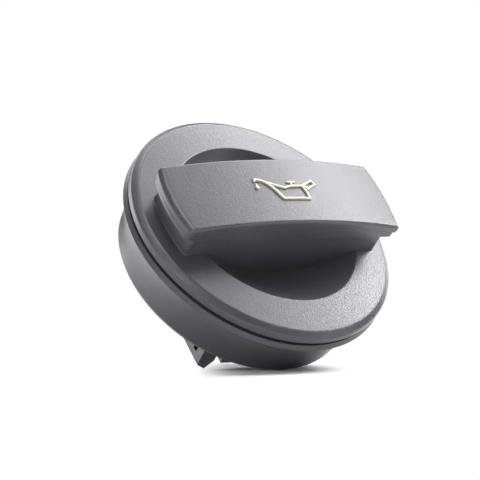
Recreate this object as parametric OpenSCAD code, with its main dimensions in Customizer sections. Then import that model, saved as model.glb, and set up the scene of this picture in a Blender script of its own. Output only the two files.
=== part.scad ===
// Oil filler cap with a grip bar, two finger wells and a bayonet plug.
// Millimetres. The axis is Z, the grip bar runs along X, and the claw tips stand on Z = 0.

/* [Disc] */
// Diameter of the disc
disc_d = 78; // [74:0.5:84]
// Height of the upright rim of the disc
rim_h = 2.3; // [1.6:0.1:3.5]
// Width of the bevel round the disc
bevel_w = 1.7; // [1:0.1:2.5]
// Height of the bevel round the disc
bevel_h = 1.15; // [0.6:0.05:1.8]
// Rise of the domed top from the bevel to the centre
crown_h = 2.4; // [1.5:0.1:4]
// Thickness of the disc's skin
skin_t = 2.2; // [1.6:0.1:2.6]

/* [Finger wells] */
// Border of the disc round the circle that both finger wells share
well_border = 11.7; // [10.5:0.1:14]
// Depth of the bowl that both finger wells are cut from, below their edge
well_depth = 10; // [7:0.5:12]
// Wall thickness round and under a finger well
well_wall = 2; // [1.4:0.1:2.6]
// Radius between the web and the floor of a finger well
web_fillet = 3; // [1.5:0.25:4]
// Radius of the rounded upper edge of a finger well
edge_round = 0.5; // [0.3:0.05:1]

/* [Grip bar] */
// Distance of the grip's ends from the edge of the disc
grip_inset = 2.6; // [1:0.1:6]
// Width of the grip
grip_w = 22.6; // [18:0.2:25]
// Height of the grip's crown above the edge of the disc
grip_h = 15.6; // [13:0.2:20]
// Fall of the arched grip from its crown to its ends
grip_drop = 3.55; // [2:0.05:5]
// Bulge of the rounded grip ends in plan
end_bulge = 1.4; // [0.8:0.1:3]
// Radius that rolls the grip's top over at its ends
end_round = 2.2; // [1:0.1:2.6]
// Radius along the long top edges of the grip
side_round = 0.5; // [0.2:0.05:1]
// Height of the grip cover's edge
cover_t = 2.35; // [2.1:0.05:3.2]
// Radius of the cover's upright corners
cover_corner = 1.3; // [0.6:0.1:2]
// Thickness of the grip cover's skin
cover_skin = 1.5; // [1.1:0.1:1.8]
// Width of the grip cover's rim
cover_rim = 1.7; // [1.2:0.1:2.4]
// Seam between the grip cover and the lip under it
seam_h = 0.25; // [0.15:0.05:0.5]
// Height that the flat-bottomed lip under the cover keeps at the grip's ends
lip_t = 1.45; // [0.8:0.05:2.5]
// Step of the lip inside the cover's outline
lip_inset = 0.4; // [0.1:0.05:1]
// Radius of the lip's corners in plan
lip_corner = 2.2; // [1:0.1:4]
// Radius of the corners of the land that fits inside the cover
land_corner = 0.8; // [0.4:0.1:1.6]
// Overhang of the grip's ends past the web that carries it
web_inset = 3.4; // [2.5:0.1:6]
// Width of the web under the lip
web_w = 20.8; // [17:0.2:22]
// Radius of the web's corners in plan
web_corner = 3; // [1:0.25:4]
// Thickness of the web's walls and of its top
web_wall = 2.4; // [1.8:0.1:3]

/* [Cover studs] */
// Diameter of each stud that holds the cover
stud_d = 3; // [2.4:0.1:3.6]
// Distance of the studs from the web's inner ends
stud_in = 8.6; // [5:0.2:12]
// Spacing of the studs across the grip
stud_dy = 8; // [6.4:0.2:9]
// Diameter of the staked head on each stud
stud_head_d = 4.4; // [3.8:0.1:4.8]
// Height of the staked head on each stud
stud_head_h = 0.9; // [0.6:0.1:1.4]

/* [Skirt ring] */
// Height of the groove under the disc
groove_h = 1.1; // [0.8:0.1:2]
// Depth of the groove under the disc
groove_depth = 2; // [1.2:0.1:2.6]
// Distance the flange stands out past the disc
flange_out = 0.2; // [0:0.05:1]
// Height of the flange's side
flange_h = 1.5; // [1:0.1:2.5]
// Bevel along the lower edge of the flange's side
flange_bevel = 0.2; // [0.1:0.05:0.5]
// Distance that the flange's side leans in towards the disc
flange_lean = 0.6; // [0.1:0.05:1]
// Height of the skirt below the flange
skirt_h = 14.7; // [14:0.1:18]
// Distance the skirt draws in from the flange to its lower lip
skirt_in = 4.8; // [4:0.1:6]
// Wall thickness of the skirt at its lower lip
skirt_wall = 2.4; // [1.6:0.1:3]
// Radius of the hollow curve of the skirt
skirt_flare = 36; // [30:1:60]
// Height of the bevelled lower lip of the skirt
lip_h = 1.2; // [0.6:0.1:2]
// Width of the bevelled lower lip of the skirt
lip_w = 0.9; // [0.4:0.1:1.4]

/* [Bayonet plug] */
// Reach of the claws below the skirt
plug_drop = 11.4; // [9:0.1:14]
// Width of the ledge in the skirt ring that carries the plug's flange
ledge_w = 1.1; // [0.8:0.1:1.4]
// Thickness of the plug's flange
plug_flange_t = 2.6; // [2:0.1:3.2]
// Outer diameter of the plug's barrel
barrel_d = 42.6; // [40:0.2:44]
// Wall thickness of the plug's barrel
barrel_wall = 2.2; // [1.6:0.1:3]
// Height of the barrel's lower edge above the claw tips
barrel_z = 1.8; // [1.6:0.1:4]
// Width of each bayonet wing
wing_w = 34; // [30:0.5:36]
// Distance over the faces of both bayonet wings
wing_span = 46.2; // [45:0.2:50]
// Height of the wings' locking faces above the claw tips
wing_h = 8.2; // [7:0.1:9]
// Lean of the wings' outer faces, in degrees
wing_lean = 7; // [0:0.5:10]
// Width of each claw at a wing's end
claw_w = 5; // [4:0.1:6]
// Distance of a claw's tip from the wing's end
claw_tip = 2.8; // [2:0.1:3.4]
// Rise of a claw's end corner above its tip
claw_rise = 1.5; // [1:0.1:2.5]
// Width of the slot between a claw and the middle of its wing
claw_slot = 2.6; // [2:0.1:3.5]
// Height of the claw slots above the claw tips
claw_slot_h = 5; // [4:0.1:5.6]
// Side of the square pocket in a wing's end face
pocket = 1.6; // [1:0.1:2]
// Thickness of the ribs inside the barrel
rib_t = 1.8; // [1.2:0.1:2.4]
// Height of the ribs inside the barrel
rib_h = 9; // [6:0.5:12]
// Height of the drive key that reaches into the web
key_h = 9; // [6:0.5:11]
// Wall thickness of the drive key
key_wall = 2; // [1.6:0.1:2.6]

/* [Neck seal] */
// Gap between the sealing ring and the skirt
seal_gap = 0.4; // [0.2:0.1:0.8]
// Width of the sealing ring
seal_w = 3.2; // [2.6:0.1:3.6]
// Height of the sealing ring
seal_h = 3.4; // [2.8:0.1:4]
// Depth of the groove that holds the sealing ring
seal_groove = 0.8; // [0.5:0.05:1.2]

/* [Fits] */
// Clearance between moulded pieces that slide together
fit = 0.15; // [0.1:0.01:0.25]
// Height of the snap bead that holds the skirt ring
bead = 0.45; // [0.3:0.05:0.6]
// Thickness of the spigot that enters the skirt ring
spigot_t = 2; // [1.6:0.1:2.4]

/* [Hidden] */

charcoal = "#47484c";
charcoal_dark = "#3a3b3f";
rubber_black = "#1e1e20";

big = 400;
fine = 180;
small = 48;
blend = 0.01;

skirt_z = plug_drop;
flange_z = skirt_z + skirt_h;
flange_top = flange_z + flange_h;
rim_z0 = flange_top + groove_h;
rim_z = rim_z0 + rim_h;
ridge_z = rim_z + bevel_h;
ridge_r = disc_d / 2 - bevel_w;
crown_z = ridge_z + crown_h;
dome_r = (ridge_r * ridge_r + crown_h * crown_h) / (2 * crown_h);

well_r = disc_d / 2 - well_border;
well_edge_z = crown_z - dome_r + sqrt(dome_r * dome_r - well_r * well_r);
well_floor = well_edge_z - well_depth;
cup_floor = well_floor - well_wall;
bowl_r = (well_r * well_r + well_depth * well_depth) / (2 * well_depth);
bowl_z = well_floor + bowl_r;

grip_l = disc_d - 2 * grip_inset;
web_l = grip_l - 2 * web_inset;
core_l = web_l - 2 * web_wall;
grip_top = rim_z + grip_h;
arch_r = (grip_l * grip_l / 4 + grip_drop * grip_drop) / (2 * grip_drop);
arch_z = grip_top - arch_r;
bulge_r = (grip_w * grip_w / 4 + end_bulge * end_bulge) / (2 * end_bulge);
bulge_x = grip_l / 2 - bulge_r;
end_slope = asin((grip_l / 2) / arch_r);
roll_z = grip_top - grip_drop + end_round * (tan(end_slope) - 0.94 / cos(end_slope));

lip_top_r = arch_r - cover_t - seam_h;
lip_z = grip_top - grip_drop - cover_t - seam_h - lip_t;
land_r = arch_r - cover_skin - fit;
ceiling_r = land_r - web_wall;
stud_x = core_l / 2 - stud_in;
head_x = stud_x + stud_head_d / 2;
stud_seat = arch_z + sqrt(ceiling_r * ceiling_r - head_x * head_x);

flange_r = disc_d / 2 + flange_out;
collar_r = disc_d / 2 - groove_depth;
skirt_r = flange_r - skirt_in;
neck_bore_r = skirt_r - skirt_wall;
plug_top = cup_floor;
plug_low = plug_top - plug_flange_t;
plug_flange_r = neck_bore_r + ledge_w;
spigot_r = plug_flange_r + spigot_t - fit;
bead_z = (plug_top + flange_z) / 2 + bead;

barrel_r = barrel_d / 2;
barrel_in = barrel_r - barrel_wall;
wing_x = wing_w / 2;
wing_y = wing_span / 2;

seal_r = neck_bore_r - seal_gap - seal_w;

// Height of the domed top at a radius
function dome_z(r) = crown_z - dome_r + sqrt(dome_r * dome_r - r * r);

// Plan of a bar with bulged ends and rounded corners
module bar_plan(length, width, bulge, corner) {
    er = (width * width / 4 + bulge * bulge) / (2 * bulge);
    ex = length / 2 - er;
    cy = width / 2 - corner;
    cx = ex + sqrt((er - corner) * (er - corner) - cy * cy);
    ty = cy * er / (er - corner);
    union() {
        for (m = [0, 1]) mirror([m, 0, 0]) intersection() {
            translate([0, -ty]) square([length, 2 * ty]);
            translate([ex, 0]) circle(r = er, $fn = big);
        }
        square([2 * cx, width], center = true);
        for (sx = [-1, 1], sy = [-1, 1]) {
            translate([sx * cx, sy * cy]) circle(r = corner + blend, $fn = small);
        }
    }
}

// Space under the arch out to a radius of the arch, down to the plug
module under_arch(radius, width) {
    rotate([90, 0, 0]) linear_extrude(width, center = true) intersection() {
        translate([0, arch_z]) circle(r = radius, $fn = big);
        translate([-grip_l, plug_top - 2]) square([2 * grip_l, grip_top]);
    }
}

// Half section of the round bowl of the finger wells
module well_section() {
    er = edge_round;
    edge_z = dome_z(well_r + er);
    union() {
        intersection() {
            translate([0, bowl_z]) circle(r = bowl_r, $fn = big);
            translate([0, well_floor - 1]) square([well_r + blend, well_depth + 1 + blend]);
        }
        translate([0, well_edge_z]) square([well_r, crown_z + 1 - well_edge_z]);
        difference() {
            translate([well_r - er, edge_z - er]) square([2 * er, 3 * er]);
            translate([well_r + er, edge_z - er]) circle(r = er, $fn = small);
        }
    }
}

// Half section of the cup that walls a finger well from below
module cup_section() {
    intersection() {
        translate([0, bowl_z]) circle(r = bowl_r + well_wall, $fn = big);
        translate([0, cup_floor - 1]) square([ridge_r, ridge_z - skin_t / 2 - cup_floor + 1]);
    }
}

// Slab along X on the +Y side that bounds a finger well next to the web
module well_side() {
    f = web_fillet;
    rotate([90, 0, 90]) translate([0, 0, -disc_d / 2]) linear_extrude(disc_d) difference() {
        translate([web_w / 2, well_floor - 1]) square([disc_d, crown_z + 4 - well_floor]);
        difference() {
            translate([web_w / 2 - 1, well_floor - 2]) square([1 + f * 0.8, 2 + f]);
            translate([web_w / 2 + f, well_floor + f * 0.8]) circle(r = f, $fn = small);
        }
    }
}

// Slab along X on the +Y side that bounds the cup under a finger well
module cup_side() {
    y0 = web_w / 2 - well_wall;
    cut = web_fillet * 0.8;
    rotate([90, 0, 90]) translate([0, 0, -disc_d / 2]) linear_extrude(disc_d) polygon([
        [y0, crown_z],
        [y0, cup_floor + cut],
        [y0 + cut, cup_floor - 1],
        [disc_d, cup_floor - 1],
        [disc_d, crown_z]
    ]);
}

// Both finger wells
module wells() {
    for (m = [0, 1]) mirror([0, m, 0]) intersection() {
        rotate_extrude($fn = fine) well_section();
        well_side();
    }
}

// Both cups under the finger wells
module cups() {
    for (m = [0, 1]) mirror([0, m, 0]) intersection() {
        rotate_extrude($fn = fine) cup_section();
        cup_side();
    }
}

// Disc with its rim, bevel, domed skin and the spigot under it
module disc_shell() {
    rotate_extrude($fn = fine) difference() {
        union() {
            polygon([
                [0, rim_z0],
                [disc_d / 2, rim_z0],
                [disc_d / 2, rim_z],
                [ridge_r, ridge_z],
                [0, ridge_z]
            ]);
            intersection() {
                translate([0, crown_z - dome_r]) circle(r = dome_r, $fn = big);
                translate([0, ridge_z - 0.01]) square([ridge_r, crown_h + 1]);
            }
            translate([spigot_r - spigot_t, plug_top]) square([spigot_t, rim_z0 - plug_top + 1]);
            translate([spigot_r - bead / 2, bead_z]) circle(r = bead, $fn = small);
        }
        translate([0, rim_z0 - 1]) square([spigot_r - spigot_t, ridge_z - skin_t - rim_z0 + 1]);
    }
}

// Bar with bulged ends and a flat underside, from a height up to a radius of the arch
module arched_bar(length, width, corner, low_z, high_r) {
    intersection() {
        translate([0, 0, low_z]) linear_extrude(grip_top) bar_plan(length, width, end_bulge, corner);
        under_arch(high_r, grip_w + 2);
    }
}

// Web, overhanging lip and land of the grip bar, above the skin of the disc
module grip_body() {
    inset = cover_rim + fit;
    arched_bar(web_l, web_w, web_corner, ridge_z - skin_t / 2, lip_top_r - lip_t / 2);
    arched_bar(grip_l - 2 * lip_inset, grip_w - 2 * lip_inset, lip_corner, lip_z, lip_top_r);
    arched_bar(grip_l - 2 * inset, grip_w - 2 * inset, land_corner, lip_z + lip_t / 2, land_r);
}

// Hollow inside the web, open downwards, narrowed all round by a gap
module web_core(gap) {
    w = web_w - 2 * web_wall - 2 * gap;
    linear_extrude(grip_top) bar_plan(core_l - 2 * gap, w, end_bulge, web_corner - gap);
}

// Places of the cover's studs
module at_studs() {
    for (sx = [-1, 1], sy = [-1, 1]) {
        translate([sx * stud_x, sy * stud_dy / 2, 0]) children();
    }
}

module cap_top() {
    color(charcoal) difference() {
        union() {
            disc_shell();
            cups();
            grip_body();
        }
        wells();
        intersection() {
            web_core(0);
            under_arch(ceiling_r, grip_w + 2);
        }
        at_studs() {
            translate([0, 0, stud_seat - 1]) cylinder(d = stud_d + 2 * fit, h = grip_h, $fn = small);
        }
    }
}

// Arched plate of the cover with rounded long edges, as a sweep about the arch's axis
module cover_sweep() {
    span = 2 * end_slope + 2;
    w = grip_w / 2;
    sr = side_round;
    translate([0, 0, arch_z]) rotate([90, 0, 0]) rotate([0, 0, 90 - span / 2])
        rotate_extrude(angle = span, $fn = big) union() {
            translate([arch_r - cover_t, -w]) square([cover_t - sr, grip_w]);
            translate([arch_r - cover_t, -w + sr]) square([cover_t, grip_w - 2 * sr]);
            for (s = [-1, 1]) {
                translate([arch_r - sr, s * (w - sr)]) circle(r = sr, $fn = small);
            }
        }
}

// Bulged and rolled-over outline of one grip end, about the end's own axis
module end_form() {
    cr = bulge_r - end_round;
    translate([bulge_x, 0, 0]) rotate_extrude($fn = big) union() {
        translate([0, rim_z]) square([bulge_r, roll_z - rim_z]);
        translate([0, rim_z]) square([cr, grip_h + 1]);
        translate([cr, roll_z]) circle(r = end_round, $fn = small);
    }
}

// Space outside the cover's rounded upright corners
module corner_waste() {
    inner_r = bulge_r - cover_corner;
    cy = grip_w / 2 - cover_corner;
    cx = bulge_x + sqrt(inner_r * inner_r - cy * cy);
    turn = asin(cy / inner_r);
    reach = 3 * cover_corner;
    for (mx = [0, 1], my = [0, 1]) mirror([mx, 0, 0]) mirror([0, my, 0]) {
        translate([cx, cy, rim_z]) linear_extrude(grip_top) difference() {
            polygon([
                [0, 0],
                [reach * cos(turn), reach * sin(turn)],
                [reach, reach],
                [0, reach]
            ]);
            circle(r = cover_corner + blend, $fn = small);
        }
    }
}

module grip_cover() {
    head_z = stud_seat - fit;
    color(charcoal) union() {
        difference() {
            intersection() {
                cover_sweep();
                end_form();
                rotate([0, 0, 180]) end_form();
            }
            corner_waste();
            intersection() {
                linear_extrude(grip_top)
                    bar_plan(grip_l - 2 * cover_rim, grip_w - 2 * cover_rim, end_bulge, land_corner + fit);
                under_arch(arch_r - cover_skin, grip_w + 2);
            }
        }
        intersection() {
            at_studs() {
                translate([0, 0, head_z - stud_head_h / 2]) cylinder(d = stud_d, h = grip_h, $fn = small);
            }
            under_arch(arch_r - cover_skin / 2, grip_w);
        }
        at_studs() {
            translate([0, 0, head_z - stud_head_h]) cylinder(d = stud_head_d, h = stud_head_h, $fn = small);
        }
    }
}

// Half section of the skirt ring
module skirt_section() {
    low_z = skirt_z + lip_h;
    under_r = flange_r - flange_bevel;
    dz = flange_z - low_z;
    dr = under_r - skirt_r;
    half = sqrt(dz * dz + dr * dr) / 2;
    sag = sqrt(skirt_flare * skirt_flare - half * half);
    cr = (under_r + skirt_r) / 2 + sag * dz / (2 * half);
    cz = (flange_z + low_z) / 2 - sag * dr / (2 * half);
    difference() {
        union() {
            polygon([
                [neck_bore_r, skirt_z],
                [skirt_r - lip_w, skirt_z],
                [skirt_r, low_z],
                [under_r, low_z],
                [under_r, flange_z],
                [flange_r, flange_z + flange_bevel],
                [flange_r - flange_lean, flange_top],
                [collar_r, flange_top],
                [collar_r, rim_z0],
                [neck_bore_r, rim_z0]
            ]);
        }
        intersection() {
            translate([cr, cz]) circle(r = skirt_flare, $fn = big);
            translate([skirt_r - skirt_wall, low_z]) square([flange_r, dz]);
        }
        translate([0, plug_low]) square([plug_flange_r + fit, rim_z0]);
        translate([0, plug_top]) square([spigot_r + fit, rim_z0]);
        translate([spigot_r - bead / 2, bead_z]) circle(r = bead + fit, $fn = small);
    }
}

module skirt_ring() {
    color(charcoal_dark) rotate_extrude($fn = fine) skirt_section();
}

// Outline of a pair of wings seen along Y
module wing_outline() {
    tip = wing_x - claw_tip;
    slot_out = wing_x - claw_w;
    slot_in = slot_out - claw_slot;
    polygon([
        [-wing_x, claw_rise],
        [-tip, 0],
        [-slot_out, barrel_z + 1],
        [-slot_out, claw_slot_h],
        [-slot_in, claw_slot_h],
        [-slot_in, barrel_z],
        [slot_in, barrel_z],
        [slot_in, claw_slot_h],
        [slot_out, claw_slot_h],
        [slot_out, barrel_z + 1],
        [tip, 0],
        [wing_x, claw_rise],
        [wing_x, wing_h - 1.5],
        [wing_x - 3, wing_h],
        [-wing_x + 3, wing_h],
        [-wing_x, wing_h - 1.5]
    ]);
}

// Both wings with their leaning outer faces and claws
module wings() {
    top_y = wing_y - wing_h * tan(wing_lean);
    intersection() {
        rotate([90, 0, 0]) linear_extrude(wing_span + 4, center = true) wing_outline();
        rotate([90, 0, 90]) linear_extrude(wing_w + 4, center = true) polygon([
            [-wing_y, 0],
            [wing_y, 0],
            [top_y, wing_h],
            [-top_y, wing_h]
        ]);
    }
}

module bayonet_plug() {
    color(charcoal_dark) difference() {
        union() {
            rotate_extrude($fn = fine) union() {
                translate([0, plug_low]) square([plug_flange_r, plug_flange_t]);
                translate([0, barrel_z]) square([barrel_r, plug_low - barrel_z + 1]);
            }
            wings();
            drive_key();
        }
        difference() {
            translate([0, 0, -1]) cylinder(r = barrel_in, h = plug_low + 1, $fn = fine);
            for (a = [0, 90]) {
                rotate([0, 0, a]) translate([0, 0, plug_low - rib_h / 2 + 0.5])
                    cube([barrel_d - barrel_wall, rib_t, rib_h + 1], center = true);
            }
        }
        rotate_extrude($fn = fine) translate([seal_r - fit, plug_low - 1])
            square([seal_w + 2 * fit, seal_groove + 1]);
        for (sx = [-1, 1], sy = [-1, 1]) {
            translate([sx * wing_x, sy * (wing_y + barrel_r * 0.7) / 2, claw_slot_h - pocket / 2])
                cube([2 * pocket, pocket, pocket], center = true);
        }
    }
}

// Hollow key on the plug that turns with the web
module drive_key() {
    intersection() {
        translate([0, 0, plug_top - 1]) cylinder(r = well_r, h = key_h + 1, $fn = fine);
        difference() {
            web_core(fit);
            web_core(fit + key_wall);
        }
    }
}

// Sealing ring with two lips towards the filler neck
module neck_seal() {
    z0 = plug_low + seal_groove - seal_h;
    color(rubber_black) rotate_extrude($fn = fine) difference() {
        translate([seal_r, z0]) square([seal_w, seal_h]);
        translate([seal_r + seal_w / 2, z0]) circle(r = seal_w / 5, $fn = small);
    }
}

cap_top();
grip_cover();
skirt_ring();
bayonet_plug();
neck_seal();
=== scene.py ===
"""Oil filler cap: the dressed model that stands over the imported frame.

All sizes are millimetres until a mesh is made, and the frame is the cap's own:
Z is the cap's axis, the grip runs along X and the claw tips stand on Z = 0.
"""

import logging
import math
from dataclasses import dataclass, field
from enum import Enum
from typing import Any, Sequence

import bmesh
import bpy
import numpy as np
from mathutils import Matrix, Vector


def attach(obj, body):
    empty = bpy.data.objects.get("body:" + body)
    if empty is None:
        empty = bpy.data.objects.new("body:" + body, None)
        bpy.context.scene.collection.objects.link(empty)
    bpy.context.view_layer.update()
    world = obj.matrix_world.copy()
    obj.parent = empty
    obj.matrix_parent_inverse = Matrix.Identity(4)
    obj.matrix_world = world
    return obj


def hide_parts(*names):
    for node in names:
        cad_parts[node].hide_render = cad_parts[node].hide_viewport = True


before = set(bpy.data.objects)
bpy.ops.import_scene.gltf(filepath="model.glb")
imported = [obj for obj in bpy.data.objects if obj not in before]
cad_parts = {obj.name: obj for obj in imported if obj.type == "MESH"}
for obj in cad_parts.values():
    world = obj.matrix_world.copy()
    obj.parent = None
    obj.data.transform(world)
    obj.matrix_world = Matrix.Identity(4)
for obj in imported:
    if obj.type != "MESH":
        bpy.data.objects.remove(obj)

MM = 0.001
MERGE_M = 2e-7
SLIVER_M = 1e-7
LOG = logging.getLogger("oil_cap")
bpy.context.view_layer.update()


# ---- numbers and curves


def smooth(value: np.ndarray, low: float, high: float) -> np.ndarray:
    """Smooth step: 3t^2 - 2t^3, with t the clamped share of the way from low to high."""
    t = np.clip((np.asarray(value, float) - low) / (high - low), 0.0, 1.0)
    return t * t * (3.0 - 2.0 * t)


def arc(
    centre: Sequence[float], radii: Sequence[float], start: float, stop: float, count: int
) -> np.ndarray:
    """Points on an ellipse: centre plus radii times (cos a, sin a), a from start to stop.

    Args:
        centre: Centre of the ellipse.
        radii: Its two half axes.
        start: First angle in degrees.
        stop: Last angle in degrees.
        count: Number of points.

    Returns:
        Array of shape (count, 2).
    """
    angle = np.radians(np.linspace(start, stop, count))
    x = centre[0] + radii[0] * np.cos(angle)
    y = centre[1] + radii[1] * np.sin(angle)
    return np.column_stack((x, y))


def round_corners(corners: Sequence[Sequence[float]], steps: int = 5) -> np.ndarray:
    """Open profile with its inner corners rounded.

    Each corner is cut back by radius * tan(turn / 2) on both sides and joined by a
    circle that touches both sides there.

    Args:
        corners: Points (x, y, radius) of the profile, with radius 0 for a point that stays.
        steps: Points on each rounding.

    Returns:
        Array of shape (n, 2).
    """
    table = np.asarray(corners, float)
    pts, radii = table[:, :2], table[:, 2]
    out = [pts[0]]
    for before, here, after, radius in zip(pts[:-2], pts[1:-1], pts[2:], radii[1:-1]):
        into = (here - before) / np.linalg.norm(here - before)
        away = (after - here) / np.linalg.norm(after - here)
        turn = math.atan2(into[0] * away[1] - into[1] * away[0], float(np.dot(into, away)))
        if radius <= 0.0 or abs(turn) < 1e-3:
            out.append(here)
            continue
        back = radius * math.tan(abs(turn) / 2.0)
        side = np.array([-into[1], into[0]]) * math.copysign(1.0, turn)
        centre = here - into * back + side * radius
        spread = np.linspace(0.0, turn, steps)
        cos, sin = np.cos(spread), np.sin(spread)
        ray = -side
        rays = np.column_stack((cos * ray[0] - sin * ray[1], sin * ray[0] + cos * ray[1]))
        out.extend(centre + rays * radius)
    out.append(pts[-1])
    return np.array(out)


@dataclass(frozen=True)
class Arch:
    """Arch of the grip: a circle about an axis along Y, high at the middle of the bar."""

    top: float = 46.6
    drop: float = 3.55
    length: float = 72.8

    @property
    def radius(self) -> float:
        """Radius of the circle through the crown and both ends."""
        return (self.length**2 / 4 + self.drop**2) / (2 * self.drop)

    def height(self, x: np.ndarray, depth: float = 0.0) -> np.ndarray:
        """Height of the arch at x, on the circle that lies depth below the top one."""
        r = self.radius
        return self.top - r + np.sqrt((r - depth) ** 2 - np.asarray(x, float) ** 2)


@dataclass(frozen=True)
class BarPlan:
    """Plan of a bar: straight sides, bulged ends and rounded corners."""

    length: float
    width: float
    bulge: float
    corner: float
    side_points: int = 70
    corner_points: int = 12
    end_points: int = 34

    @property
    def end_radius(self) -> float:
        """Radius of the bulged end."""
        return (self.width**2 / 4 + self.bulge**2) / (2 * self.bulge)

    def loop(self) -> tuple[np.ndarray, np.ndarray]:
        """Outline and outward normals, anticlockwise from the middle of the +X end.

        One quadrant runs from there to the middle of the +Y side: end circle, corner circle,
        straight side. The other three are its mirror images.

        Returns:
            Points of shape (n, 2) and unit normals of shape (n, 2).
        """
        er = self.end_radius
        ex = self.length / 2 - er
        cy = self.width / 2 - self.corner
        cx = ex + math.sqrt((er - self.corner) ** 2 - cy**2)
        join = math.atan2(cy, cx - ex)
        a = np.linspace(0.0, join, self.end_points)
        end_n = np.column_stack((np.cos(a), np.sin(a)))
        end_p = np.array([ex, 0.0]) + er * end_n
        b = np.linspace(join, math.pi / 2, self.corner_points + 1)[1:]
        corner_n = np.column_stack((np.cos(b), np.sin(b)))
        corner_p = np.array([cx, cy]) + self.corner * corner_n
        x = np.linspace(cx, 0.0, self.side_points + 1)[1:]
        side_p = np.column_stack((x, np.full_like(x, self.width / 2)))
        side_n = np.column_stack((np.zeros_like(x), np.ones_like(x)))
        p = np.vstack((end_p, corner_p, side_p))
        n = np.vstack((end_n, corner_n, side_n))
        flip = np.array([-1.0, 1.0])
        half_p = np.vstack((p, (p * flip)[-2::-1]))
        half_n = np.vstack((n, (n * flip)[-2::-1]))
        full_p = np.vstack((half_p, -half_p[1:-1]))
        full_n = np.vstack((half_n, -half_n[1:-1]))
        return full_p, full_n


# ---- meshes


@dataclass
class Patch:
    """Grid of points that becomes quads, with its seams and poles closed by merging."""

    points: np.ndarray
    wrap_rows: bool = False
    wrap_columns: bool = False

    def quads(self) -> np.ndarray:
        """Index quads of the grid: each cell joins its four neighbours.

        Returns:
            Array of shape (n, 4).
        """
        rows, columns = self.points.shape[:2]
        index = np.arange(rows * columns).reshape(rows, columns)
        if self.wrap_rows:
            index = np.vstack((index, index[:1]))
        if self.wrap_columns:
            index = np.hstack((index, index[:, :1]))
        a, b = index[:-1, :-1].ravel(), index[:-1, 1:].ravel()
        c, d = index[1:, 1:].ravel(), index[1:, :-1].ravel()
        return np.column_stack((a, b, c, d))


def revolve(profile: np.ndarray, around: int) -> Patch:
    """Surface of revolution: each profile point (r, z) goes round the Z axis.

    Args:
        profile: Points (r, z), open from axis to axis or a closed ring of section.
        around: Number of steps round the axis.

    Returns:
        The grid, rows along the profile and columns round the axis.
    """
    angle = np.linspace(0.0, 2 * math.pi, around, endpoint=False)
    r, z = profile[:, :1], profile[:, 1:]
    height = np.broadcast_to(z, (len(r), around))
    points = np.stack((r * np.cos(angle), r * np.sin(angle), height), axis=-1)
    return Patch(points, wrap_columns=True)


def make_piece(name: str, patches: Sequence[Patch], sharp: float = 40.0) -> bpy.types.Object:
    """One mesh object from closed grids.

    Args:
        name: Name of the piece.
        patches: Grids in millimetres, each a closed shell once its seams are merged.
        sharp: Angle in degrees above which an edge stays sharp.

    Returns:
        The linked object, at the origin.
    """
    points, faces, start = [], [], 0
    for patch in patches:
        flat = patch.points.reshape(-1, 3)
        points.append(flat * MM)
        faces.append(patch.quads() + start)
        start += len(flat)
    mesh = bpy.data.meshes.new(name)
    mesh.from_pydata(np.vstack(points).tolist(), [], np.vstack(faces).tolist())
    tidy_mesh(mesh, sharp)
    piece = bpy.data.objects.new(name, mesh)
    bpy.context.scene.collection.objects.link(piece)
    weigh_normals(piece)
    return piece


def tidy_mesh(mesh: bpy.types.Mesh, sharp: float) -> None:
    """Merges seams and poles, drops flat slivers, turns faces outwards, marks sharp edges.

    Args:
        mesh: The mesh to tidy.
        sharp: Angle in degrees above which an edge stays sharp.
    """
    work = bmesh.new()
    work.from_mesh(mesh)
    bmesh.ops.remove_doubles(work, verts=work.verts, dist=MERGE_M)
    bmesh.ops.dissolve_degenerate(work, edges=work.edges, dist=SLIVER_M)
    bmesh.ops.recalc_face_normals(work, faces=work.faces)
    work.to_mesh(mesh)
    work.free()
    mesh.polygons.foreach_set("use_smooth", np.ones(len(mesh.polygons), bool))
    mesh.set_sharp_from_angle(angle=math.radians(sharp))
    mesh.update()


def weigh_normals(piece: bpy.types.Object) -> None:
    """Lets large faces lead the shading, so flats stay flat beside their rounded edges.

    Args:
        piece: The piece that gets the modifier.
    """
    weigh = piece.modifiers.new("face_weights", "WEIGHTED_NORMAL")
    weigh.mode = "FACE_AREA"
    weigh.weight = 60
    weigh.keep_sharp = True


# ---- shader wiring


Settings = dict[str, Any]
Inputs = dict[Any, Any]
Colour = tuple[float, float, float, float]


class Wire:
    """A value or link in a material, with arithmetic that adds Math nodes."""

    def __init__(self, book: "NodeBook", source: Any) -> None:
        """Keeps the node book and the socket or number."""
        self.book = book
        self.source = source

    def _math(self, operation: str, *others: Any) -> "Wire":
        """Adds one Math node on this value and the others."""
        terms = dict(enumerate((self, *others)))
        return self.book.wire("ShaderNodeMath", {"operation": operation}, terms)

    def __add__(self, other: Any) -> "Wire":
        """Sum."""
        return self._math("ADD", other)

    def __radd__(self, other: Any) -> "Wire":
        """Sum with a number in front."""
        return self._math("ADD", other)

    def __sub__(self, other: Any) -> "Wire":
        """Difference."""
        return self._math("SUBTRACT", other)

    def __rsub__(self, other: Any) -> "Wire":
        """Number less this value."""
        return Wire(self.book, other)._math("SUBTRACT", self)

    def __mul__(self, other: Any) -> "Wire":
        """Product."""
        return self._math("MULTIPLY", other)

    def __rmul__(self, other: Any) -> "Wire":
        """Product with a number in front."""
        return self._math("MULTIPLY", other)

    def greatest(self, other: Any) -> "Wire":
        """The larger of two values."""
        return self._math("MAXIMUM", other)


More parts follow.
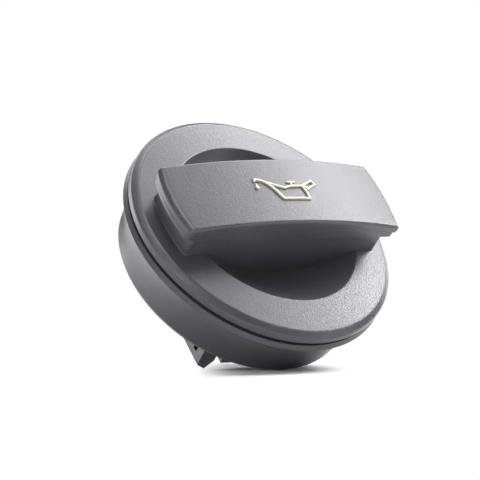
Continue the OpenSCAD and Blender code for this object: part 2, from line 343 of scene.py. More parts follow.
class NodeBook:
    """Makes the nodes of one material or world."""

    def __init__(self, tree: bpy.types.NodeTree) -> None:
        """Clears the tree."""
        self.tree = tree
        tree.nodes.clear()

    def add(self, kind: str, settings: Settings | None = None, inputs: Inputs | None = None) -> Any:
        """Adds a node.

        Args:
            kind: The node's type.
            settings: Its own settings, set first.
            inputs: Values or wires by socket name or number.

        Returns:
            The node.
        """
        node = self.tree.nodes.new(kind)
        for key, value in (settings or {}).items():
            setattr(node, key, value)
        for key, value in (inputs or {}).items():
            socket = node.inputs[key]
            source = value.source if isinstance(value, Wire) else value
            if isinstance(source, bpy.types.NodeSocket):
                self.tree.links.new(source, socket)
            else:
                socket.default_value = source
        return node

    def wire(self, kind: str, settings: Settings | None, inputs: Inputs, output: Any = 0) -> Wire:
        """Adds a node and returns one of its outputs as a wire."""
        return Wire(self, self.add(kind, settings, inputs).outputs[output])

    def noise(self, place: Wire, scale: float, detail: float) -> Wire:
        """Noise on a place, scale in cells per metre."""
        inputs = {"Vector": place, "Scale": scale, "Detail": detail, "Roughness": 0.55}
        return self.wire("ShaderNodeTexNoise", None, inputs, "Fac")

    def blend(self, factor: Any, first: Any, second: Any) -> Wire:
        """Colour mix: sockets 0, 6 and 7 are its factor and colours, and output 2 its colour."""
        inputs = {0: factor, 6: first, 7: second}
        return self.wire("ShaderNodeMix", {"data_type": "RGBA"}, inputs, 2)

    def mix(self, factor: Wire, first: Any, second: Any) -> Any:
        """Adds a node that mixes the shaders of two nodes."""
        shaders = {1: Wire(self, first.outputs[0]), 2: Wire(self, second.outputs[0])}
        return self.add("ShaderNodeMixShader", None, {0: factor, **shaders})

    def surface(self, kind: str, shader: Any) -> None:
        """Adds the output node of a material or world and gives it a node's shader."""
        self.add(kind, None, {"Surface": Wire(self, shader.outputs[0])})


@dataclass(frozen=True)
class MouldedPlastic:
    """Moulded plastic with a spark-eroded grain, whose cells are counted per metre."""

    name: str
    colour: Colour
    shade: Colour
    roughness: float
    grain: float
    grain_cells: float = 2200.0
    specular: float = 0.5
    coarse_share: float = 0.31
    cloud_cells: float = 90.0
    speckle: float = 1.6
    mottle: float = 0.5
    rough_speckle: float = 0.30
    rough_mottle: float = 0.06
    relief_m: float = 0.00008
    fine_relief: float = 0.75

    def build(self) -> bpy.types.Material:
        """Makes the material: cloudy colour, cloudy roughness and a fine grain in the bump.

        Returns:
            The material, worked out from Object coordinates.
        """
        material = bpy.data.materials.new(self.name)
        material.use_nodes = True
        book = NodeBook(material.node_tree)
        place = book.wire("ShaderNodeTexCoord", None, {}, "Object")
        cloud = book.noise(place, self.cloud_cells, 3.0)
        fine = book.noise(place, self.grain_cells, 2.0)
        coarse = book.noise(place, self.grain_cells * self.coarse_share, 2.0)
        light = (fine - 0.5) * self.speckle + cloud * self.mottle + (1 - self.mottle) / 2
        rough = (cloud - 0.5) * self.rough_mottle + (fine - 0.5) * self.rough_speckle
        height = fine * self.fine_relief + coarse * (1 - self.fine_relief)
        relief = {"Strength": self.grain, "Distance": self.relief_m, "Height": height}
        looks = {
            "Base Color": book.blend(light, self.shade, self.colour),
            "Roughness": rough + self.roughness,
            "Normal": book.wire("ShaderNodeBump", None, relief, "Normal"),
            "Specular IOR Level": self.specular,
        }
        shader = book.add("ShaderNodeBsdfPrincipled", None, looks)
        book.surface("ShaderNodeOutputMaterial", shader)
        return material


class Finish(Enum):
    """Finishes of the cap's pieces."""

    CHARCOAL = MouldedPlastic(
        "charcoal_grained", (0.062, 0.063, 0.070, 1), (0.038, 0.039, 0.045, 1), 0.36, 0.9
    )
    # Plug: the charcoal made lighter as painted light that brightens the claws' lit facets, with a
    # real satin sheen from its higher specular
    PLUG = MouldedPlastic(
        "plug_satin_painted_light", (0.085, 0.086, 0.094, 1), (0.070, 0.071, 0.078, 1), 0.40, 0.25, specular=0.8
    )
    SEAL = MouldedPlastic(
        "seal_matte", (0.012, 0.012, 0.013, 1), (0.008, 0.008, 0.009, 1), 0.55, 0.3, 1800.0, 0.35
    )
    CREAM = MouldedPlastic(
        "cream_paint", (0.60, 0.58, 0.43, 1), (0.54, 0.52, 0.38, 1), 0.50, 0.2, 1500.0, 0.3
    )


class Wardrobe:
    """Makes each finish once and gives it to the pieces."""

    def __init__(self) -> None:
        """Starts with no material made."""
        self.made: dict[Finish, bpy.types.Material] = {}

    def dress(self, piece: bpy.types.Object, finish: Finish) -> None:
        """Gives a piece its only material.

        Args:
            piece: The piece.
            finish: Its finish.
        """
        if finish not in self.made:
            self.made[finish] = finish.value.build()
        piece.data.materials.clear()
        piece.data.materials.append(self.made[finish])


# ---- the cap's pieces


@dataclass
class SkirtRing:
    """Ring under the disc: collar in the groove, flange, hollow skirt and lower lip."""

    collar_r: float = 37.0
    flange_r: float = 39.2
    flange_z: float = 26.1
    flange_h: float = 1.5
    flange_lean: float = 0.75
    flange_bevel_w: float = 0.15
    flange_bevel_h: float = 0.2
    groove_h: float = 1.4
    seam: float = 0.02
    skirt_r: float = 34.4
    skirt_z: float = 11.4
    lip_h: float = 1.2
    lip_w: float = 0.9
    flare: float = 36.0
    flare_points: int = 36
    bore_r: float = 32.0
    bore_start: float = 2.0
    ledge_z: float = 18.66
    ledge_r: float = 33.25
    shelf_z: float = 21.2
    top_r: float = 35.1
    around: int = 320

    def flare_curve(self) -> np.ndarray:
        """Hollow curve: the circle of the flare radius from the lip's top to the flange.

        Returns:
            Points (r, z) from below upwards.
        """
        low = np.array([self.skirt_r, self.skirt_z + self.lip_h])
        high = np.array([self.flange_r - self.flange_bevel_w, self.flange_z])
        span = high - low
        half = np.linalg.norm(span) / 2
        sag = math.sqrt(self.flare**2 - half**2)
        out = np.array([span[1], -span[0]]) / (2 * half)
        centre = (low + high) / 2 + out * sag
        first = math.degrees(math.atan2(*(low - centre)[::-1]))
        last = math.degrees(math.atan2(*(high - centre)[::-1]))
        return arc(centre, (self.flare, self.flare), first % 360, last % 360, self.flare_points)

    def profile(self) -> np.ndarray:
        """Closed half section, from the bore round the outside and back.

        Returns:
            Points (r, z).
        """
        top = self.flange_z + self.flange_h
        end = top + self.groove_h - self.seam
        start = (self.bore_r, self.skirt_z + self.bore_start, 0.0)
        flare = np.column_stack((self.flare_curve(), np.zeros(self.flare_points)))
        flare[0, 2] = 0.22
        foot = [
            start,
            (self.bore_r, self.skirt_z, 0.3),
            (self.skirt_r - self.lip_w, self.skirt_z, 0.25),
        ]
        head = [
            (self.flange_r - self.flange_bevel_w, self.flange_z, 0.05),
            (self.flange_r, self.flange_z + self.flange_bevel_h, 0.12),
            (self.flange_r - self.flange_lean, top, 0.2),
            (self.collar_r, top, 0.25),
            (self.collar_r, end, 0.0),
            (self.top_r, end, 0.0),
            (self.top_r, self.shelf_z, 0.0),
            (self.ledge_r, self.shelf_z, 0.0),
            (self.ledge_r, self.ledge_z, 0.0),
            (self.bore_r, self.ledge_z, 0.0),
            start,
        ]
        return round_corners(np.vstack((foot, flare[:-1], head)))

    def build(self, wardrobe: Wardrobe) -> bpy.types.Object:
        """Revolves the section and dresses it.

        Args:
            wardrobe: Finishes made so far.

        Returns:
            The finished piece.
        """
        piece = make_piece("skirt_ring_moulding", [revolve(self.profile(), self.around)])
        wardrobe.dress(piece, Finish.CHARCOAL)
        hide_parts("skirt_ring")
        return piece


@dataclass
class DiscMoulding:
    """Disc with its round pan for the fingers, the web across it and the lip under the cover."""

    arch: Arch = field(default_factory=Arch)
    disc_r: float = 39.0
    rim_z0: float = 29.0
    rim_z: float = 31.0
    rim_round: float = 1.1
    under_round: float = 0.3
    under_w: float = 2.0
    spigot_r: float = 34.9
    spigot_z: float = 21.3
    ridge_r: float = 37.3
    ridge_z: float = 32.15
    ridge_round: float = 2.2
    crown_h: float = 2.4
    well_r: float = 27.3
    well_depth: float = 10.0
    edge_round: float = 0.5
    edge_out: float = 0.75
    edge_stop: float = 94.0
    edge_in_gap: float = 0.05
    edge_out_gap: float = 0.25
    lip_plan: BarPlan = BarPlan(72.0, 21.8, 1.4, 2.0)
    lip_low: float = 39.0
    lip_low_round: float = 0.25
    lip_high_round: float = 0.2
    cover_t: float = 2.35
    seam: float = 0.25
    web_plan: BarPlan = BarPlan(66.0, 20.8, 1.4, 1.2)
    web_sink: float = 1.5
    web_rise: float = 0.6
    foot_least: float = 0.05
    foot_end: float = 0.3
    foot_fade: tuple[float, float] = (29.0, 31.9)
    around: int = 320

    @property
    def dome_r(self) -> float:
        """Radius of the sphere of the domed top."""
        return (self.ridge_r**2 + self.crown_h**2) / (2 * self.crown_h)

    def dome_z(self, r: np.ndarray) -> np.ndarray:
        """Height of the domed top at a distance from the axis: a sphere by ridge and crown."""
        top = self.ridge_z + self.crown_h
        return top - self.dome_r + np.sqrt(self.dome_r**2 - np.asarray(r, float) ** 2)

    @property
    def floor_z(self) -> float:
        """Height of the floor of the finger wells."""
        return float(self.dome_z(self.well_r)) - self.well_depth

    @property
    def bowl_r(self) -> float:
        """Radius of the sphere that cuts the wells, through their floor and their edge."""
        return (self.well_r**2 + self.well_depth**2) / (2 * self.well_depth)

    def bowl_z(self, r: np.ndarray) -> np.ndarray:
        """Height of the bowl at a distance from the axis: the sphere's lower half."""
        return self.floor_z + self.bowl_r - np.sqrt(self.bowl_r**2 - np.asarray(r, float) ** 2)

    def pan_profile(self) -> np.ndarray:
        """Half section from the bowl's centre over the wells' edge and the rim to the underside.

        The bowl runs into the dome on a circle of the edge's radius, from the bowl's own
        slope to the dome's.

        Returns:
            Points (r, z).
        """
        slope = math.degrees(math.asin(self.well_r / self.bowl_r))
        edge = self.edge_round
        edge_r = self.well_r + edge * math.sin(math.radians(slope)) * self.edge_out
        edge_z = float(self.dome_z(edge_r)) - edge
        bend = arc((edge_r, edge_z), (edge, edge), 90 + slope, self.edge_stop, 7)
        bowl_r = np.linspace(0.0, bend[0, 0] - self.edge_in_gap, 60)
        bowl = np.column_stack((bowl_r, self.bowl_z(bowl_r)))
        dome_r = np.linspace(edge_r + self.edge_out_gap, self.ridge_r, 30)
        dome = np.column_stack((dome_r, self.dome_z(dome_r)))
        corners = [
            (*dome[-2], 0.0),
            (*dome[-1], self.ridge_round),
            (self.disc_r, self.rim_z, self.rim_round),
            (self.disc_r, self.rim_z0, self.under_round),
            (self.disc_r - self.under_w, self.rim_z0, 0.0),
            (self.spigot_r, self.rim_z0, 0.0),
            (self.spigot_r, self.spigot_z, 0.0),
            (0.0, self.spigot_z, 0.0),
        ]
        return np.vstack((bowl, bend, dome[:-1], round_corners(corners, 6)[1:]))

    def web_patch(self) -> Patch:
        """Web as a loft up its plan: z and the outward step both vary along each column.

        A column starts below the ground, which is the bowl inside the wells' circle and the
        domed top past it, leaves it on a quarter circle whose radius grows towards the
        web's ends, and then goes straight up into the lip.

        Returns:
            Grid with a column for each point of the plan.
        """
        plan, normal = self.web_plan.loop()
        reach = np.hypot(plan[:, 0], plan[:, 1])
        foot = self.foot_end * smooth(np.abs(plan[:, 0]), *self.foot_fade) + self.foot_least
        inner = self.bowl_z(np.minimum(reach + foot * 0.5, self.well_r))
        ground = np.where(reach < self.well_r, inner, self.dome_z(reach + foot * 0.6))
        turn = np.radians(np.linspace(90, 0, 12))[:, None]
        step = foot * (1 - np.cos(turn))
        rise = ground + foot * (1 - np.sin(turn))
        lift = np.linspace(0.0, 1.0, 6)[1:, None]
        wall = (ground + foot) * (1 - lift) + (self.lip_low + self.web_rise) * lift
        step = np.vstack((foot[None], step, np.zeros_like(wall)))
        rise = np.vstack((ground[None] - self.web_sink, rise, wall))
        x = plan[:, 0] + normal[:, 0] * step
        y = plan[:, 1] + normal[:, 1] * step
        grid = np.dstack((x, y, rise))
        low, high = grid[:1] * [0.0, 0.0, 1.0], grid[-1:] * [0.0, 0.0, 1.0]
        return Patch(np.vstack((low, grid, high)), wrap_columns=True)

    def lip_patch(self) -> Patch:
        """Lip as a loft of its plan: flat underneath, arched on top, edges rounded.

        Returns:
            Grid with a column for each point of the plan.
        """
        plan, normal = self.lip_plan.loop()
        low, high = self.lip_low_round, self.lip_high_round
        low_edge = arc((-low, low), (low, low), -90, 0, 7)
        high_edge = arc((-high, -high), (high, high), 0, 90, 5)
        depth = self.cover_t + self.seam
        flat = np.full(len(plan), self.lip_low)
        arched = self.arch.height(plan[:, 0], depth)
        rows = [np.column_stack((plan * s, flat)) for s in (0.0, 0.5, 0.9)]
        rows += [np.column_stack((plan + normal * out, flat + up)) for out, up in low_edge]
        rows += [np.column_stack((plan + normal * out, arched + up)) for out, up in high_edge]
        for s in np.linspace(0.98, 0.0, 12):
            rows.append(np.column_stack((plan * s, self.arch.height(plan[:, 0] * s, depth))))
        return Patch(np.stack(rows), wrap_columns=True)

    def build(self, wardrobe: Wardrobe) -> bpy.types.Object:
        """Joins pan, web and lip in one moulding and dresses it.

        Args:
            wardrobe: Finishes made so far.

        Returns:
            The finished piece.
        """
        patches = [revolve(self.pan_profile(), self.around), self.web_patch(), self.lip_patch()]
        piece = make_piece("disc_and_grip_moulding", patches)
        wardrobe.dress(piece, Finish.CHARCOAL)
        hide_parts("cap_top")
        return piece


@dataclass
class GripCover:
    """Arched cover of the grip: rolled over at its ends, lightly rounded along its sides.

    The rows are the shares of the plan's size at which the top is sampled, closest at its
    rim where it turns down.
    """

    arch: Arch = field(default_factory=Arch)
    plan: BarPlan = BarPlan(72.8, 22.6, 1.4, 1.8)
    thickness: float = 2.35
    end_run: float = 1.9
    end_fall: float = 1.35
    side_run: float = 0.8
    side_fall: float = 0.8
    end_under: float = 0.3
    end_lift: float = 0.35
    side_under: float = 0.2
    under_rows: tuple[float, ...] = (0.0, 0.3, 0.6, 0.8, 0.9, 0.97)
    rim_rows: tuple[float, ...] = (1.0, 0.9995, 0.9985, 0.997, 0.995, 0.9925, 0.99, 0.987, 0.983)
    end_rows: tuple[float, ...] = (0.979, 0.974, 0.969, 0.963, 0.957, 0.95, 0.943, 0.936, 0.93)
    top_rows: tuple[float, ...] = (0.92, 0.88, 0.8, 0.7, 0.6, 0.5, 0.4, 0.3, 0.2, 0.1, 0.0)

    def top_z(self, x: np.ndarray, y: np.ndarray) -> np.ndarray:
        """Height of the top: the arch, less an elliptic fall near the ends and near the sides.

        With t the share of the way into the edge zone, each fall is its depth times
        1 - sqrt(1 - t^2), and the two falls f and g meet at the corners as sqrt(f^2 + g^2).

        Args:
            x: Places along the grip.
            y: Places across it.

        Returns:
            Height at each place.
        """
        er = self.plan.end_radius
        ex = self.plan.length / 2 - er
        to_end = er - np.hypot(np.abs(x) - ex, y)
        to_side = self.plan.width / 2 - np.abs(y)
        a = np.clip(1 - to_end / self.end_run, 0, 1)
        b = np.clip(1 - to_side / self.side_run, 0, 1)
        end = self.end_fall * (1 - np.sqrt(1 - a * a))
        side = self.side_fall * (1 - np.sqrt(1 - b * b))
        return self.arch.height(x) - np.hypot(end, side)

    def patch(self) -> Patch:
        """Closed loft: underside, lower edge, upright band and top, row by row up the plan.

        Returns:
            Grid with a column for each point of the plan.
        """
        plan, normal = self.plan.loop()
        endness = smooth(np.abs(normal[:, 0]), 0.2, 0.95)
        under = self.side_under + (self.end_under - self.side_under) * endness
        base = self.arch.height(plan[:, 0], self.thickness)
        band_top = self.top_z(plan[:, 0], plan[:, 1])
        lift = self.side_under + (self.end_lift - self.side_under) * endness
        rows = []
        for s in self.under_rows:
            edge = (plan - normal * under[:, None]) * s
            rows.append(np.column_stack((edge, self.arch.height(edge[:, 0], self.thickness))))
        for t in np.sin(np.radians(np.linspace(-90, 0, 8))):
            inset = under * (1 - math.sqrt(1 - t * t))
            rows.append(np.column_stack((plan - normal * inset[:, None], base + lift * (1 + t))))
        rows.append(np.column_stack((plan, (base + lift + band_top) / 2)))
        for s in self.rim_rows + self.end_rows + self.top_rows:
            edge = plan * s
            rows.append(np.column_stack((edge, self.top_z(edge[:, 0], edge[:, 1]))))
        return Patch(np.stack(rows), wrap_columns=True)

    def build(self, wardrobe: Wardrobe) -> bpy.types.Object:
        """Lofts the cover and dresses it.

        Args:
            wardrobe: Finishes made so far.

        Returns:
            The finished piece.
        """
        piece = make_piece("grip_cover_moulding", [self.patch()])
        wardrobe.dress(piece, Finish.CHARCOAL)
        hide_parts("grip_cover")
        return piece


Path = tuple[tuple[float, float], ...]


@dataclass
class OilCanSign:
    """Raised oil-can sign on the grip: ribbons with bevelled edges that follow the arch.

    Where ribbons cross, each lies a layer below the one before it.
    """

    arch: Arch = field(default_factory=Arch)
    height: float = 0.5
    sunk: float = 0.15
    layer: float = 0.01
    bevel: float = 0.05
    stroke: float = 0.62
    least_mitre: float = 0.35
    can: Path = (
        (-6.95, 3.0),
        (-3.96, 1.63),
        (-0.89, 0.52),
        (1.12, 1.05),
        (5.38, 1.17),
        (5.88, -1.17),
        (5.75, -3.3),
        (-2.77, -3.22),
        (-3.96, -0.65),
        (-5.29, 1.64),
    )
    spout: Path = ((-6.6, 2.85), (-8.0, 3.45), (-9.3, 3.7), (-9.7, 2.95))
    handle: Path = ((6.0, 1.45), (9.15, 3.05), (9.95, 1.7), (6.75, 0.1))
    stem: Path = ((1.75, 1.1), (2.1, 2.5))
    bar: Path = ((0.75, 2.52), (3.4, 2.52))
    drop: Path = ((-9.45, 2.0), (-9.7, 1.15), (-9.3, 0.45))
    drop_widths: tuple[float, ...] = (0.25, 0.75, 0.8)

    def ribbon(self, path: Path, closed: bool, widths: Sequence[float], layer: int) -> Patch:
        """Ribbon along a path: at each point the section goes out along its legs' mitre.

        Args:
            path: Corner points in plan.
            closed: Whether the last point joins the first.
            widths: Full width at each corner point.
            layer: Number of layers that its top lies below the sign's height.

        Returns:
            Closed grid of the ribbon.
        """
        top = self.height - self.layer * layer
        pts = np.asarray(path, float)
        half = np.asarray(widths, float)[:, None] / 2
        legs = (np.roll(pts, -1, 0) - pts) if closed else np.diff(pts, axis=0)
        unit = legs / np.linalg.norm(legs, axis=1)[:, None]
        if closed:
            before, after = np.roll(unit, 1, 0), unit
        else:
            before = np.vstack((unit[:1], unit))
            after = np.vstack((unit, unit[-1:]))
        left_b = np.column_stack((-before[:, 1], before[:, 0]))
        left_a = np.column_stack((-after[:, 1], after[:, 0]))
        mitre = left_b + left_a
        mitre /= np.linalg.norm(mitre, axis=1)[:, None]
        mitre /= np.clip(np.sum(mitre * left_a, axis=1), self.least_mitre, 1.0)[:, None]
        b = self.bevel
        left = [(-1.0, 0.0, -self.sunk), (-1.0, 0.0, top - b), (-1.0, b, top)]
        right = [(1.0, -b, top), (1.0, 0.0, top - b), (1.0, 0.0, -self.sunk)]
        rows = []
        for side, inset, z in left + right:
            edge = pts + mitre * (half * side + inset)
            rows.append(np.column_stack((edge, np.full(len(pts), z))))
        grid = self.refine(np.stack(rows), closed)
        if not closed:
            ends = [grid[:, end].mean(axis=0)[None, None].repeat(len(grid), 0) for end in (0, -1)]
            grid = np.concatenate((ends[0], grid, ends[1]), axis=1)
        grid[..., 2] += self.arch.height(grid[..., 0])
        return Patch(grid, wrap_rows=True, wrap_columns=closed)

    @staticmethod
    def refine(grid: np.ndarray, closed: bool) -> np.ndarray:
        """Splits each leg in five equal steps, so that it can follow the arch.

        Args:
            grid: Section points along the path.
            closed: Whether the last point joins the first.

        Returns:
            The finer grid.
        """
        following = np.roll(grid, -1, 1) if closed else grid[:, 1:]
        starting = grid if closed else grid[:, :-1]
        share = np.linspace(0.0, 1.0, 5, endpoint=False)[None, None, :, None]
        fine = starting[:, :, None] * (1 - share) + following[:, :, None] * share
        fine = fine.reshape(len(grid), -1, 3)
        return fine if closed else np.concatenate((fine, grid[:, -1:]), axis=1)

    def build(self, wardrobe: Wardrobe) -> bpy.types.Object:
        """Lays the ribbons on the grip and dresses them.

        Args:
            wardrobe: Finishes made so far.

        Returns:
            The finished piece.
        """
        w = self.stroke
        patches = [
            self.ribbon(self.can, True, [w] * len(self.can), 0),
            self.ribbon(self.spout, False, [w, w, w * 1.1, w * 0.7], 1),
            self.ribbon(self.handle, True, [w] * len(self.handle), 2),
            self.ribbon(self.stem, False, [w * 0.9] * 2, 3),
            self.ribbon(self.bar, False, [w * 0.8] * 2, 4),
            self.ribbon(self.drop, False, self.drop_widths, 0),
        ]
        piece = make_piece("oil_can_sign", patches, 30.0)
        wardrobe.dress(piece, Finish.CREAM)
        return piece


@dataclass
class BayonetPlug:
    """Plug with its flange, barrel, wings and claws, taken from the frame with broken edges."""

    node: str = "bayonet_plug"
    edge: float = 0.25
    merge_m: float = 2e-6
    flat_angle: float = 0.4
    sharp_angle: float = 35.0
    bevel_angle: float = 40.0

    def build(self, wardrobe: Wardrobe) -> bpy.types.Object:
        """Merges a copy of the node, cleans its flats and bevels its edges.

        Args:
            wardrobe: Finishes made so far.

        Returns:
            The finished piece.
        """
        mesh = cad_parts[self.node].data.copy()
        mesh.name = "bayonet_plug_moulding"
        work = bmesh.new()
        work.from_mesh(mesh)
        bmesh.ops.remove_doubles(work, verts=work.verts, dist=self.merge_m)
        flat = math.radians(self.flat_angle)
        bmesh.ops.dissolve_limit(work, angle_limit=flat, verts=work.verts, edges=work.edges)
        bmesh.ops.recalc_face_normals(work, faces=work.faces)
        work.to_mesh(mesh)
        work.free()
        mesh.polygons.foreach_set("use_smooth", np.ones(len(mesh.polygons), bool))
        mesh.set_sharp_from_angle(angle=math.radians(self.sharp_angle))
        piece = bpy.data.objects.new("bayonet_plug_moulding", mesh)
        bpy.context.scene.collection.objects.link(piece)
        bevel = piece.modifiers.new("broken_edges", "BEVEL")
        bevel.width = self.edge * MM
        bevel.segments = 2
        bevel.limit_method = "ANGLE"
        bevel.angle_limit = math.radians(self.bevel_angle)
        weigh_normals(piece)
        wardrobe.dress(piece, Finish.PLUG)
        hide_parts(self.node)
        return piece


@dataclass
class NeckSeal:
    """Sealing ring under the plug's flange: two lips with a hollow between them."""

    inner: float = 28.4
    width: float = 3.2
    low: float = 16.0668
    high: float = 19.4668
    corner: float = 0.3
    hollow_r: float = 0.64
    hollow_points: int = 9
    around: int = 256

    def profile(self) -> np.ndarray:
        """Closed half section: a rounded box with a half-round hollow below.

        Returns:
            Points (r, z).
        """
        outer = self.inner + self.width
        middle = self.inner + self.width / 2
        start = (self.inner, self.high - 1.0, 0.0)
        bend = arc((middle, self.low), (self.hollow_r, self.hollow_r), 180, 0, self.hollow_points)
        hollow = np.column_stack((bend, np.zeros(self.hollow_points)))
        box = [(outer, self.low, self.corner), (outer, self.high, self.corner)]
        box += [(self.inner, self.high, self.corner), start]
        return round_corners(np.vstack((start, (self.inner, self.low, self.corner), hollow, box)))

    def build(self, wardrobe: Wardrobe) -> bpy.types.Object:
        """Revolves the section and dresses it.

        Args:
            wardrobe: Finishes made so far.

        Returns:
            The finished piece.
        """
        piece = make_piece("neck_seal_ring", [revolve(self.profile(), self.around)])
        wardrobe.dress(piece, Finish.SEAL)
        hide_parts("neck_seal")
        return piece


# ---- studio


@dataclass
class Studio:
    """Camera, white floor that the cap leans on, surroundings and lamps.

    A lamp is its name, its turn and rise in degrees, its width in metres and its radiance.
    """

    eye: tuple[float, float, float] = (-484.06, -425.63, 526.52)
    right: tuple[float, float, float] = (0.80766459, -0.39706524, 0.43590951)
    down: tuple[float, float, float] = (-0.01613943, -0.75388793, -0.65680477)
    ahead: tuple[float, float, float] = (0.58942126, 0.52344263, -0.61529699)
    lens: float = 225.0
    sensor: float = 36.0
    clip_m: tuple[float, float] = (0.02, 20.0)
    lean_low: tuple[float, float] = (-23.1, 0.0)
    lean_high: tuple[float, float] = (-34.55, 12.6)
    floor_half_m: float = 6.0
    floor_gap_m: float = 0.00005
    floor_grey: float = 0.72
    shadow_x: float = -3.5
    shadow_wide: float = 19.0
    shadow_deep: float = 62.0
    shadow_fade: tuple[float, float] = (0.2, 1.3)
    air: float = 0.04
    lamp_target_m: tuple[float, float, float] = (0.0, 0.0, 0.03)
    lamp_far_m: float = 0.9
    tint: tuple[float, float, float] = (1.0, 0.985, 1.02)
    lamps: tuple[tuple[str, float, float, float, float], ...] = (
        ("key_right", 68.0, 34.0, 0.32, 21.5),
        ("backdrop", 30.0, 7.0, 0.60, 4.5),
        ("edge_right", 100.0, 8.0, 0.32, 2.0),
        ("far_right", 90.0, 34.0, 0.32, 4.2),
        ("back_right", 50.0, 48.0, 0.32, 12.5),
        ("back_middle", 20.0, 46.0, 0.32, 9.0),
        ("side_right", 90.0, 50.0, 0.32, 6.0),
        ("high_right", 70.0, 68.0, 0.32, 3.4),
        ("high_back", 0.0, 66.0, 0.32, 8.6),
        ("back_left", 330.0, 34.0, 0.64, 2.8),
        ("low_back_left", 300.0, 12.0, 0.64, 5.0),
        ("low_left", 252.0, 6.0, 0.40, 4.4),
        ("low_front", 205.0, 20.0, 0.32, 8.6),
        ("front", 180.0, 34.0, 0.32, 5.0),
        ("high_front", 180.0, 70.0, 0.32, 11.0),
    )

    def camera(self) -> None:
        """Sets the camera at the photograph's place: axes right, up and back as columns."""
        data = bpy.data.cameras.new("photo_camera")
        data.lens = self.lens
        data.sensor_width = self.sensor
        data.dof.use_dof = False
        camera = bpy.data.objects.new("photo_camera", data)
        bpy.context.scene.collection.objects.link(camera)
        up = -np.array(self.down)
        back = -np.array(self.ahead)
        turn = Matrix(np.column_stack((self.right, up, back)).tolist()).to_4x4()
        camera.matrix_world = Matrix.Translation(Vector(self.eye) * MM) @ turn
        data.clip_start, data.clip_end = self.clip_m
        bpy.context.scene.camera = camera

    def floor_normal(self) -> np.ndarray:
        """Normal of the plane through the claw tips and the skirt's lower edge.

        Returns:
            Unit vector, square to X and to the line between the two.
        """
        along = np.array(self.lean_high) - np.array(self.lean_low)
        normal = np.array([0.0, along[1], -along[0]])
        return normal / np.linalg.norm(normal)

    def level_axes(self) -> tuple[np.ndarray, np.ndarray]:
        """Directions that lie in the floor.

        Returns:
            Unit vectors straight away from the camera and to its right.
        """
        normal = self.floor_normal()
        away = np.array(self.ahead) - normal * np.dot(self.ahead, normal)
        away /= np.linalg.norm(away)
        return away, np.cross(away, normal)

    def floor_material(self) -> bpy.types.Material:
        """White that shows its light and shade near the contact and glows past it.

        With u and w the distances from the contact to the right and away, each over the
        ellipse's half width there, the glow grows with u^2 + w^2.

        Returns:
            The floor's material, clear from below.
        """
        material = bpy.data.materials.new("studio_white")
        material.use_nodes = True
        book = NodeBook(material.node_tree)
        seen = book.wire("ShaderNodeLightPath", None, {}, "Is Camera Ray")
        place = book.wire("ShaderNodeTexCoord", None, {}, "Object")
        contact = (self.shadow_x * MM, self.lean_high[0] * MM, self.lean_high[1] * MM)
        minus, dot = {"operation": "SUBTRACT"}, {"operation": "DOT_PRODUCT"}
        offset = book.wire("ShaderNodeVectorMath", minus, {0: place, 1: contact})
        away, right = self.level_axes()
        parts = []
        for axis, half in ((right, self.shadow_wide), (away, self.shadow_deep)):
            inputs = {0: offset, 1: (axis / (half * MM)).tolist()}
            parts.append(book.wire("ShaderNodeVectorMath", dot, inputs, "Value"))
        reach = parts[0] * parts[0] + parts[1] * parts[1]
        fade = {0: reach, 1: self.shadow_fade[0], 2: self.shadow_fade[1], 3: 0.0, 4: 1.0}
        far = book.wire("ShaderNodeMapRange", {"interpolation_type": "SMOOTHSTEP"}, fade)
        diffuse = book.add("ShaderNodeBsdfDiffuse", None, {"Color": (*[self.floor_grey] * 3, 1)})
        glow = book.add("ShaderNodeEmission", None, {"Color": (1, 1, 1, 1), "Strength": 1.0})
        upper = book.mix(seen * far, diffuse, glow)
        clear = book.add("ShaderNodeBsdfTransparent")
        below = book.wire("ShaderNodeNewGeometry", None, {}, "Backfacing")
        book.surface("ShaderNodeOutputMaterial", book.mix(below, upper, clear))
        return material

    def floor(self) -> None:
        """Lays a wide white floor against the claws and the skirt, seen from above only."""
        normal = self.floor_normal()
        along = np.array([1.0, 0.0, 0.0])
        across = np.cross(normal, along)
        centre = np.array([0.0, *self.lean_low]) * MM - normal * self.floor_gap_m
        corners = np.array([(-1, -1), (1, -1), (1, 1), (-1, 1)]) * self.floor_half_m
        points = centre + corners @ np.array([along, across])
        mesh = bpy.data.meshes.new("studio_floor")
        mesh.from_pydata(points.tolist(), [], [(0, 1, 2, 3)])
        floor = bpy.data.objects.new("studio_floor", mesh)
        bpy.context.scene.collection.objects.link(floor)
        mesh.materials.append(self.floor_material())

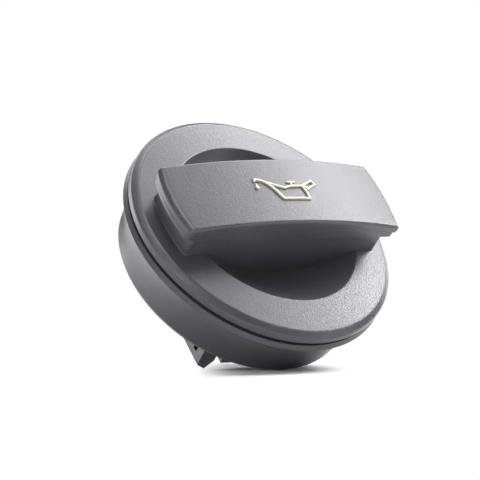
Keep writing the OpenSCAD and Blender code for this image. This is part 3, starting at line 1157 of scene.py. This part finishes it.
    def surroundings(self) -> None:
        """White to the camera, nearly dark otherwise, so that the lamps alone shape the cap."""
        world = bpy.data.worlds.new("studio_air")
        world.use_nodes = True
        bpy.context.scene.world = world
        book = NodeBook(world.node_tree)
        camera = book.wire("ShaderNodeLightPath", None, {}, "Is Camera Ray")
        through = book.wire("ShaderNodeLightPath", None, {}, "Is Transmission Ray")
        light = {
            "Color": (1, 1, 1, 1),
            "Strength": camera.greatest(through) * (1.0 - self.air) + self.air,
        }
        book.surface("ShaderNodeOutputWorld", book.add("ShaderNodeBackground", None, light))

    def lamp(self, name: str, turn: float, rise: float, width: float, radiance: float) -> None:
        """Adds a soft round lamp that faces the cap.

        Its direction is cos(rise) times the floor's level direction at the turn, plus
        sin(rise) times the floor's normal.

        Args:
            name: Name of the lamp.
            turn: Degrees round the floor's normal, clockwise from straight behind the cap.
            rise: Degrees above the floor.
            width: Its diameter in metres.
            radiance: Brightness of its face, 1 being white.
        """
        away, right = self.level_axes()
        a, e = math.radians(turn), math.radians(rise)
        level = math.cos(a) * away + math.sin(a) * right
        direction = Vector(math.cos(e) * level + math.sin(e) * self.floor_normal())
        data = bpy.data.lights.new(name, "AREA")
        data.shape = "DISK"
        data.size = width
        data.energy = radiance * (math.pi * data.size / 2) ** 2
        data.color = self.tint
        lamp = bpy.data.objects.new(name, data)
        bpy.context.scene.collection.objects.link(lamp)
        place = Matrix.Translation(Vector(self.lamp_target_m) + direction * self.lamp_far_m)
        lamp.matrix_world = place @ direction.to_track_quat("Z", "Y").to_matrix().to_4x4()

    def build(self) -> None:
        """Builds the studio."""
        bpy.context.scene.view_settings.view_transform = "Standard"
        self.floor()
        self.surroundings()
        for name, turn, rise, width, radiance in self.lamps:
            self.lamp(name, turn, rise, width, radiance)


def main() -> None:
    """Builds the camera, each piece of the cap and the studio, and reports them."""
    logging.basicConfig(level=logging.INFO, format="%(name)s: %(message)s")
    studio = Studio()
    studio.camera()
    wardrobe = Wardrobe()
    makers = (SkirtRing(), DiscMoulding(), GripCover(), BayonetPlug(), NeckSeal(), OilCanSign())
    for maker in makers:
        piece = maker.build(wardrobe)
        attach(piece, "root")
        LOG.info("%s: %d faces", piece.name, len(piece.data.polygons))
    studio.build()


if __name__ == "__main__":
    main()
